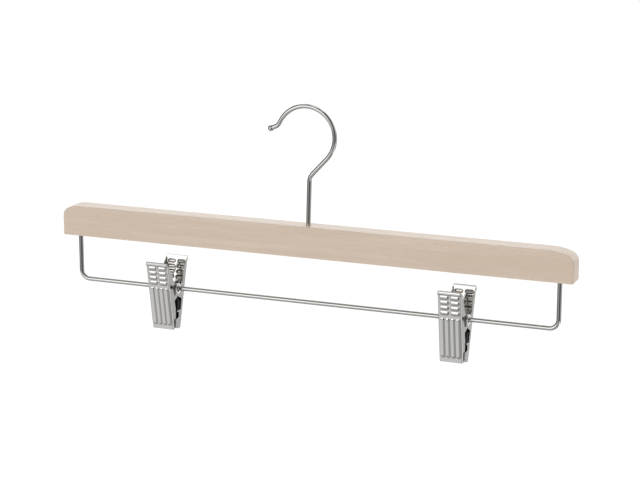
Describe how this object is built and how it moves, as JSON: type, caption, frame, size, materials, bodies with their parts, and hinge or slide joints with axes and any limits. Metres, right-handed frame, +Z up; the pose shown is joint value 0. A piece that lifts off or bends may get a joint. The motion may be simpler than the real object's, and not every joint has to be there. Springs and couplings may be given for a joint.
{
  "type": "skirt hanger",
  "caption": "Wooden clothes hanger with a straight bar, a swivelling wire hook and a wide wire frame below that carries sprung steel clips.",
  "frame": {"origin": "the underside of the hook's crown, where a rail carries it", "axes": "+X along the wooden bar, the hook's mouth faces -X; +Y towards the back; +Z up"},
  "size_m": [0.381, 0.0352, 0.1711],
  "materials": {
    "wood": "pale, fine sanded, clear matt lacquer",
    "wire": "bright plated steel wire",
    "clip_steel": "satin nickel plated sheet steel",
    "pad_rubber": "black matt rubber",
    "spring_steel": "plain drawn spring wire"
  },
  "bodies": {
    "hook": {"hook": "wire", "hook_washer": "wire"},
    "hanger": {"wooden_bar": "wood", "wire_frame": "wire"},
    "left_rivet": {"left_pivot_rivet": "clip_steel"},
    "left_rear": {"left_rear_jaw": "clip_steel", "left_rear_pad": "pad_rubber", "left_spring": "spring_steel"},
    "left_front": {"left_front_jaw": "clip_steel", "left_front_pad": "pad_rubber"},
    "right_rivet": {"right_pivot_rivet": "clip_steel"},
    "right_rear": {"right_rear_jaw": "clip_steel", "right_rear_pad": "pad_rubber", "right_spring": "spring_steel"},
    "right_front": {"right_front_jaw": "clip_steel", "right_front_pad": "pad_rubber"}
  },
  "joints": [
    {"name": "hook_swivel", "type": "hinge", "parent": "hook", "child": "hanger", "pos_m": [0.0018, 0, -0.082], "axis": [0, 0, 1], "continuous": true},
    {"name": "left_clip_slide", "type": "slide", "parent": "hanger", "child": "left_rivet", "axis": [1, 0, 0], "range_m": [-0.052, 0.199]},
    {"name": "left_clip_swing", "type": "hinge", "parent": "left_rivet", "child": "left_rear", "pos_m": [-0.10845, 0, -0.13795], "axis": [1, 0, 0], "continuous": true},
    {"name": "left_jaw_open", "type": "hinge", "parent": "left_rear", "child": "left_front", "pos_m": [-0.10845, 0, -0.13795], "axis": [-1, 0, 0], "range_deg": [0, 70], "stiffness_Nm_per_rad": 0.12, "springref_deg": -57.3, "deforming": ["left_spring"]},
    {"name": "right_clip_slide", "type": "slide", "parent": "hanger", "child": "right_rivet", "axis": [1, 0, 0], "range_m": [-0.199, 0.055]},
    {"name": "right_clip_swing", "type": "hinge", "parent": "right_rivet", "child": "right_rear", "pos_m": [0.1104, 0, -0.13795], "axis": [1, 0, 0], "continuous": true},
    {"name": "right_jaw_open", "type": "hinge", "parent": "right_rear", "child": "right_front", "pos_m": [0.1104, 0, -0.13795], "axis": [-1, 0, 0], "range_deg": [0, 70], "stiffness_Nm_per_rad": 0.12, "springref_deg": -57.3, "deforming": ["right_spring"]}
  ]
}
